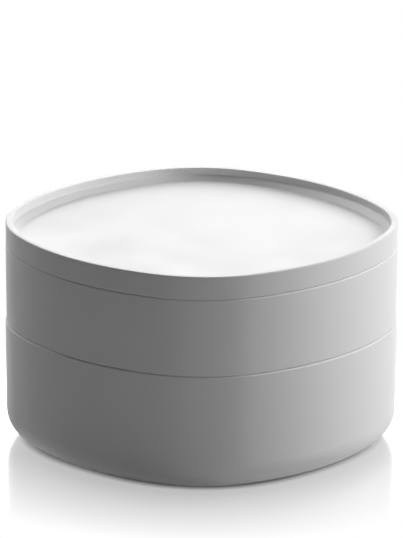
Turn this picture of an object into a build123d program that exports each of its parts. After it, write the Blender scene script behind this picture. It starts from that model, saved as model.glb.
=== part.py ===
from build123d import *
import math
import os

# Stacking bathroom organizer: an open base container, a divided tray and a lid.
# Modelled closed, standing on z = 0, with the long divider along Y.

# Plan: a rounded square with bulging sides, measured at a rim
side_half = 100.0
side_radius = 138.0
corner_radius = 68.0

# Walls
wall = 4.0
draft = 0.7
rim_round = 0.8

# Base container
base_height = 65.0
base_bottom_round = 16.0
base_floor_drop = 49.3
base_floor = 4.0
base_floor_round = 2.0
base_ring_inset = 21.5

# Nesting foot under the tray and the lid
nest_gap = 0.3
foot_height = 3.5
foot_width = 3.2
foot_round = 0.8

# Corner round at the top of the hollow under each piece
hollow_round = 1.5

# Divided tray
tray_wall_height = 42.5
tray_bottom_round = 1.0
tray_floor_drop = 32.6
tray_floor = 4.0
tray_floor_round = 2.0

# T-shaped divider moulded into the tray
divider_drop = 4.0
divider_thickness = 3.6
divider_blend = 2.5
divider_top_round = 0.8
divider_foot_round = 1.2
divider_bury = 0.1
divider_root = 2.4

# Lid
lid_wall_height = 13.0
lid_bottom_round = 1.0
lid_rim_depth = 4.1
lid_ledge = 1.3
lid_ledge_round = 1.1
lid_slope = 2.8
lid_panel_drop = 6.5
lid_panel = 3.2
lid_panel_round = 0.4

# Arc centres of the plan: sides at (-side_offset, 0), corners at (corner_offset, corner_offset)
side_offset = side_radius - side_half
corner_offset = (math.sqrt(2 * (side_radius - corner_radius) ** 2 - side_offset ** 2) - side_offset) / 2
side_angle = math.degrees(math.atan2(corner_offset, corner_offset + side_offset))

# Heights of the three rims and of the two inside floors in the closed stack
base_rim = base_height
tray_rim = base_rim + tray_wall_height
lid_rim = tray_rim + lid_wall_height
base_floor_top = base_rim - base_floor_drop
tray_floor_top = tray_rim - tray_floor_drop


# Face inside the plan, drawn in by the same amount all the way round
def plan(inset):
    arcs = []
    for quarter in range(4):
        turn = 90.0 * quarter
        side_centre = Vector(-side_offset, 0).rotate(Axis.Z, turn)
        corner_centre = Vector(corner_offset, corner_offset).rotate(Axis.Z, turn)
        arcs.append(CenterArc(side_centre, side_radius - inset, turn - side_angle, 2 * side_angle))
        arcs.append(CenterArc(corner_centre, corner_radius - inset, turn + side_angle, 90 - 2 * side_angle))
    return make_face(arcs)


# Solid between two depths below a rim, leaning in downward with the draft
def block(rim, inset, top, bottom):
    face = plan(inset + top * math.tan(math.radians(draft)))
    return extrude(Pos(0, 0, rim - top) * face, amount=bottom - top, dir=(0, 0, -1), taper=draft)


def lowest(shape):
    return shape.edges().group_by(Axis.Z)[0]


def round_rim(shape):
    return fillet(shape.edges().group_by(Axis.Z)[-1], rim_round)


# Hollow rising from a level under a piece, narrowing upward with the draft
def hollow(level, inset, top):
    shape = extrude(Pos(0, 0, level) * plan(inset), amount=top - level, taper=draft)
    return fillet(shape.edges().group_by(Axis.Z)[-1], hollow_round)


# Ring under a piece that drops inside the rim of the piece below, hollow up to a ceiling
def add_foot(body, rim, ceiling):
    body += block(rim, wall + nest_gap, 0, foot_height)
    body -= hollow(rim - foot_height, wall + nest_gap + foot_width, ceiling)
    return fillet(lowest(body), foot_round)


def make_base():
    outside = block(base_rim, 0, 0, base_height)
    outside = fillet(lowest(outside), base_bottom_round)
    inside = block(base_rim, wall, 0, base_floor_drop)
    inside = fillet(lowest(inside), base_floor_round)
    body = round_rim(outside - inside)
    body -= hollow(0, base_ring_inset, base_floor_top - base_floor)
    standing_ring = body.faces().sort_by(Axis.Z)[0]
    return fillet(standing_ring.inner_wires()[0].edges(), foot_round)


# T of two bars with ends and junction flared by concave corners, rounded along the top
def make_divider():
    reach = side_half - wall + divider_bury
    half_thick = divider_thickness / 2
    root_width = 2 * (half_thick + divider_blend) + divider_root
    root = Rectangle(root_width, divider_root, align=(Align.CENTER, Align.MIN))
    bars = Rectangle(divider_thickness, 2 * reach)
    bars += Rectangle(reach, divider_thickness, align=(Align.MIN, Align.CENTER))
    for turn in (0, 180, 270):
        bars += Rot(0, 0, turn) * Pos(0, reach) * root
    hollows = [corner for corner in bars.vertices() if min(abs(corner.X), abs(corner.Y)) < half_thick + 0.01]
    bars = fillet(hollows, divider_blend)
    depth = tray_floor_drop + tray_floor / 2 - divider_drop
    shape = extrude(Pos(0, 0, tray_rim - divider_drop) * bars, amount=depth, dir=(0, 0, -1))
    crest = [
        edge
        for edge in shape.edges().group_by(Axis.Z)[-1]
        if max(abs(edge.center().X), abs(edge.center().Y)) < reach + 0.01
    ]
    return fillet(crest, divider_top_round)


def make_tray():
    outside = block(tray_rim, 0, 0, tray_wall_height)
    outside = fillet(lowest(outside), tray_bottom_round)
    inside = block(tray_rim, wall, 0, tray_floor_drop)
    inside = fillet(lowest(inside), tray_floor_round)
    body = round_rim(outside - inside) + make_divider()
    along_divider = [
        edge
        for edge in body.edges()
        if abs(edge.bounding_box().max.Z - tray_floor_top) < 0.01
        and min(abs(edge.center().X), abs(edge.center().Y)) < divider_thickness
    ]
    body = fillet(along_divider, divider_foot_round)
    return add_foot(body, base_rim, tray_floor_top - tray_floor)


# Lid with a narrow ledge inside the rim and a slope from the ledge down to the panel
def make_lid():
    outside = block(lid_rim, 0, 0, lid_wall_height)
    outside = fillet(lowest(outside), lid_bottom_round)
    mouth = block(lid_rim, wall, 0, lid_rim_depth)
    mouth = fillet(lowest(mouth), lid_ledge_round)
    slope_drop = lid_panel_drop - lid_rim_depth
    dish = extrude(
        Pos(0, 0, lid_rim - lid_rim_depth) * plan(wall + lid_ledge),
        amount=slope_drop,
        dir=(0, 0, -1),
        taper=math.degrees(math.atan2(lid_slope, slope_drop)),
    )
    dish = fillet(lowest(dish), lid_panel_round)
    body = round_rim(outside - mouth - dish)
    return add_foot(body, tray_rim, lid_rim - lid_panel_drop - lid_panel)


os.makedirs("parts", exist_ok=True)
for name, shape in (
    ("base_container", make_base()),
    ("divided_tray", make_tray()),
    ("lid", make_lid()),
):
    export_step(shape, f"parts/{name}.step")
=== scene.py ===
import math

import bmesh
import bpy
from mathutils import Matrix, Vector

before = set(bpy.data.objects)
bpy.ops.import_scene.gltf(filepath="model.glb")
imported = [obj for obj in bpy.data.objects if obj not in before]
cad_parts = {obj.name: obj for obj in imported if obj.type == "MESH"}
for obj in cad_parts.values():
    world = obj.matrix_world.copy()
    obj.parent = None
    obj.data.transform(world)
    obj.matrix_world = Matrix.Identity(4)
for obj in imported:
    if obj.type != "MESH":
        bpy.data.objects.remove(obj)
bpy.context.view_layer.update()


# The photograph: a long lens, a little above the rims. Angles are in degrees.
photoCamera = {
    "picture": (403, 538),
    "yaw": 43.38,
    "pitch": 17.15,
    "roll": 0.32,
    "distance": 4.5,                  # metres from the middle of the base's rim
    "aimPoint": (0.0, 0.0, 0.065),    # that middle ...
    "aimPixel": (201.62, 318.85),     # ... and where the photograph shows it
    "pixelsPerMetre": 1850.0,         # at that distance
    "sensorWidth": 36.0,              # millimetres
    "clip": (0.5, 50.0),
}


# unit vector from the object towards something at this yaw and pitch, in degrees
def directionTo(yaw, pitch):
    yaw, pitch = math.radians(yaw), math.radians(pitch)
    level = math.cos(pitch)
    return Vector((math.sin(yaw) * level, -math.cos(yaw) * level, math.sin(pitch)))


def addCamera(look):
    width, height = look["picture"]
    focalPixels = look["pixelsPerMetre"] * look["distance"]
    data = bpy.data.cameras.new("photoCamera")
    data.sensor_width = look["sensorWidth"]
    data.lens = focalPixels / max(width, height) * look["sensorWidth"]
    data.clip_start, data.clip_end = look["clip"]
    camera = bpy.data.objects.new("photoCamera", data)
    back = directionTo(look["yaw"], look["pitch"])
    camera.location = Vector(look["aimPoint"]) + look["distance"] * back
    # aimed straight at the rim's middle, then turned until that point falls on its pixel
    straight = (-back).to_track_quat("-Z", "Y").to_matrix()
    right = math.atan((look["aimPixel"][0] - width / 2) / focalPixels)
    down = math.atan((look["aimPixel"][1] - height / 2) / focalPixels)
    turn = Matrix.Rotation(right, 3, "Y") @ Matrix.Rotation(down, 3, "X")
    roll = Matrix.Rotation(math.radians(look["roll"]), 3, "Z")
    camera.rotation_mode = "QUATERNION"
    camera.rotation_quaternion = (straight @ turn @ roll).to_quaternion()
    bpy.context.scene.collection.objects.link(camera)
    bpy.context.scene.camera = camera


addCamera(photoCamera)
print("camera placed")


# a node with its plain values set by socket name
def addNode(tree, kind, values=None, **settings):
    node = tree.nodes.new(kind)
    for name, value in settings.items():
        setattr(node, name, value)
    for socket, value in (values or {}).items():
        node.inputs[socket].default_value = value
    return node


# one operation on two terms, each a number or another node's output
def addMath(tree, operation, first, second=0.0):
    node = addNode(tree, "ShaderNodeMath", operation=operation)
    for socket, value in zip(node.inputs, (first, second)):
        if isinstance(value, float):
            socket.default_value = value
        else:
            tree.links.new(value, socket)
    return node.outputs[0]


# a ramp is two values, and what it gives at and beyond each of them
def addRamp(tree, value, ramp):
    start, end, low, high = ramp
    sockets = {"From Min": start, "From Max": end, "To Min": low, "To Max": high}
    node = addNode(tree, "ShaderNodeMapRange", sockets)
    tree.links.new(value, node.inputs["Value"])
    return node.outputs["Result"]


def addMixShader(tree, share, under, over):
    node = addNode(tree, "ShaderNodeMixShader")
    for socket, value in zip(node.inputs, (share, under.outputs[0], over.outputs[0])):
        tree.links.new(value, socket)
    return node


# 1 for the rays that find plain white: camera, glossy and transmission
def whiteRays(tree, path):
    seen = addMath(tree, "MAXIMUM", path.outputs["Is Camera Ray"], path.outputs["Is Glossy Ray"])
    return addMath(tree, "MAXIMUM", seen, path.outputs["Is Transmission Ray"])


# White polished table top. Each ramp starts and ends at metres out from the organizer's plan,
# negative under its edge. Plain white is what the first two ramps give together; the first
# lowers it beside the base, which paints a contact shade there.
tableTop = {
    "halfSize": 6.0,
    "colour": (0.6, 0.6, 0.6, 1.0),             # as the lamps find it
    "planRadius": 0.1,                          # across the flats ...
    "planBulge": 0.0055,                        # ... and how much more at the corners
    "contactShade": (-0.0135, -0.006, 0.1, 0.95),    # share of white, low where the base stands: painted shade round its foot, over the real shadow that the lamps cast on the matt grey
    "open": (0.0, 0.07, 0.0, 0.05),             # rest of the white, further out
    "mirror": (0.0, 0.08, 0.48, 0.0),           # share of the reflection
    "mirrorRoughness": 0.16,
}


# How far a point lies outside the rounded square. Its radius is taken as planRadius, plus
# planBulge times the squared sine of twice the angle, which is 4 x^2 y^2 / r^4.
def outsidePlan(tree, look):
    coords = addNode(tree, "ShaderNodeTexCoord")
    axes = addNode(tree, "ShaderNodeSeparateXYZ")
    tree.links.new(coords.outputs["Object"], axes.inputs[0])
    x, y = axes.outputs["X"], axes.outputs["Y"]
    xSquared = addMath(tree, "MULTIPLY", x, x)
    ySquared = addMath(tree, "MULTIPLY", y, y)
    radiusSquared = addMath(tree, "ADD", xSquared, ySquared)
    corner = addMath(tree, "DIVIDE", addMath(tree, "MULTIPLY", x, y), radiusSquared)
    cornerSquared = addMath(tree, "MULTIPLY", corner, corner)
    bulge = addMath(tree, "MULTIPLY", cornerSquared, 4.0 * look["planBulge"])
    edge = addMath(tree, "ADD", bulge, look["planRadius"])
    return addMath(tree, "SUBTRACT", addMath(tree, "SQRT", radiusSquared), edge)


def tableMaterial(look):
    material = bpy.data.materials.new("whiteTableTop")
    material.use_nodes = True
    tree = material.node_tree
    tree.nodes.clear()
    outside = outsidePlan(tree, look)
    path = addNode(tree, "ShaderNodeLightPath")
    # the white share drops beside the base: painted contact shade, with the matt part's real
    # shadow under it
    shadedWhite = addRamp(tree, outside, look["contactShade"])
    far = addRamp(tree, outside, look["open"])
    white = addMath(tree, "MULTIPLY", addMath(tree, "ADD", shadedWhite, far), whiteRays(tree, path))
    mirror = addRamp(tree, outside, look["mirror"])
    shine = addMath(tree, "MULTIPLY", mirror, path.outputs["Is Camera Ray"])
    matt = addNode(tree, "ShaderNodeBsdfDiffuse", {"Color": look["colour"]})
    glow = addNode(tree, "ShaderNodeEmission")
    gloss = addNode(tree, "ShaderNodeBsdfGlossy", {"Roughness": look["mirrorRoughness"]})
    surface = addMixShader(tree, shine, addMixShader(tree, white, matt, glow), gloss)
    output = addNode(tree, "ShaderNodeOutputMaterial")
    tree.links.new(surface.outputs[0], output.inputs["Surface"])
    return material


def addTable(look):
    bm = bmesh.new()
    bmesh.ops.create_grid(bm, x_segments=1, y_segments=1, size=look["halfSize"])
    mesh = bpy.data.meshes.new("tableTop")
    bm.to_mesh(mesh)
    bm.free()
    mesh.materials.append(tableMaterial(look))
    table = bpy.data.objects.new("tableTop", mesh)
    bpy.context.scene.collection.objects.link(table)


addTable(tableTop)
print("table top made")


# White wherever the camera or a reflection looks past the table, and dark for the object,
# which only the lamps light. "fill" would be an even light from all round.
room = {"colour": (1.0, 1.0, 1.0, 1.0), "fill": 0.0, "background": 1.0}


def addRoom(look):
    world = bpy.data.worlds.new("whiteRoom")
    world.use_nodes = True
    tree = world.node_tree
    background = tree.nodes["Background"]
    background.inputs["Color"].default_value = look["colour"]
    seen = whiteRays(tree, addNode(tree, "ShaderNodeLightPath"))
    strength = addRamp(tree, seen, (0.0, 1.0, look["fill"], look["background"]))
    tree.links.new(strength, background.inputs["Strength"])
    bpy.context.scene.world = world


addRoom(room)

# Round soft boxes, all of one size at one distance, in metres. "from" is degrees to the right
# of the camera, then degrees up. Power is in watts.
softBoxes = {
    "across": 0.8,
    "away": 1.5,
    "aimedAt": (0.0, 0.0, 0.1),
    "lamps": {
        "rightKey": {"from": (105, 25), "power": 15.6},
        "rightFront": {"from": (60, 25), "power": 3.5},
        "leftHigh": {"from": (-143, 40), "power": 9.8},
        "backLow": {"from": (180, 21), "power": 5.2},
    },
}


def addSoftBoxes(look):
    for name, place in look["lamps"].items():
        right, up = place["from"]
        back = directionTo(photoCamera["yaw"] + right, up)
        data = bpy.data.lights.new(name, "AREA")
        data.shape = "DISK"
        data.size = look["across"]
        data.energy = place["power"]
        lamp = bpy.data.objects.new(name, data)
        lamp.location = Vector(look["aimedAt"]) + look["away"] * back
        lamp.rotation_mode = "QUATERNION"
        lamp.rotation_quaternion = (-back).to_track_quat("-Z", "Y")
        lamp.visible_camera = False
        bpy.context.scene.collection.objects.link(lamp)


addSoftBoxes(softBoxes)
bpy.context.scene.view_settings.view_transform = "Standard"
print("room and lamps placed")


# Satin moulded plastic, the same light grey-white on all three pieces. A noise is given by
# the size of its pattern in metres and its detail. Heights are in metres.
satinPlastic = {
    "colour": (0.86, 0.86, 0.86, 1.0),
    "cloudColour": (0.84, 0.84, 0.84, 1.0),    # faint drifts where the melt cooled slower
    "cloud": (0.06, 3.0),
    "polish": (0.03, 4.0),
    "roughness": (0.3, 0.7, 0.42, 0.5),        # ramp from the polish noise
    "wave": (0.012, 1.0),
    "waveHeight": 0.00003,
    "grain": (0.0007, 2.0),
    "grainHeight": 0.000012,
    "ior": 1.47,
}


def plasticMaterial(name, look, shift):
    material = bpy.data.materials.new(name)
    material.use_nodes = True
    tree = material.node_tree
    link = tree.links.new
    shader = tree.nodes["Principled BSDF"]
    shader.inputs["IOR"].default_value = look["ior"]
    coords = addNode(tree, "ShaderNodeTexCoord")
    place = addNode(tree, "ShaderNodeMapping", {"Location": shift})
    link(coords.outputs["Object"], place.inputs["Vector"])

    def noise(pattern):
        size, detail = pattern
        node = addNode(tree, "ShaderNodeTexNoise", {"Scale": 1.0 / size, "Detail": detail})
        link(place.outputs["Vector"], node.inputs["Vector"])
        return node.outputs["Fac"]

    tint = addNode(tree, "ShaderNodeMix", data_type="RGBA")
    tint.inputs[6].default_value = look["colour"]         # 6, 7 and 2 are its colour sockets
    tint.inputs[7].default_value = look["cloudColour"]
    link(noise(look["cloud"]), tint.inputs[0])
    link(tint.outputs[2], shader.inputs["Base Color"])
    link(addRamp(tree, noise(look["polish"]), look["roughness"]), shader.inputs["Roughness"])
    wave = addNode(tree, "ShaderNodeBump", {"Distance": look["waveHeight"]})
    link(noise(look["wave"]), wave.inputs["Height"])
    grain = addNode(tree, "ShaderNodeBump", {"Distance": look["grainHeight"]})
    link(noise(look["grain"]), grain.inputs["Height"])
    link(wave.outputs["Normal"], grain.inputs["Normal"])
    link(grain.outputs["Normal"], shader.inputs["Normal"])
    return material


# The triangles of a node come joined only within each CAD face. Joined across the faces too,
# with only corners sharper than cornerAngle in degrees kept, the light runs evenly round.
evenLight = {"joinWithin": 0.000005, "cornerAngle": 70.0}


def lightEvenly(piece, look):
    weld = piece.modifiers.new("joinFaces", "WELD")
    weld.merge_threshold = look["joinWithin"]
    split = piece.modifiers.new("keepCorners", "EDGE_SPLIT")
    split.split_angle = math.radians(look["cornerAngle"])
    normals = piece.modifiers.new("evenNormals", "WEIGHTED_NORMAL")
    normals.mode = "FACE_AREA_WITH_ANGLE"


# each moulding's material, and how far the pattern is moved on it
mouldings = {
    "base_container": ("basePlastic", (0.0, 0.0, 0.0)),
    "divided_tray": ("trayPlastic", (0.37, 0.11, 0.05)),
    "lid": ("lidPlastic", (0.13, 0.41, 0.29)),
}
for node, (name, shift) in mouldings.items():
    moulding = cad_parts[node]
    moulding.material_slots[0].material = plasticMaterial(name, satinPlastic, shift)
    lightEvenly(moulding, evenLight)
    print("finished", node)
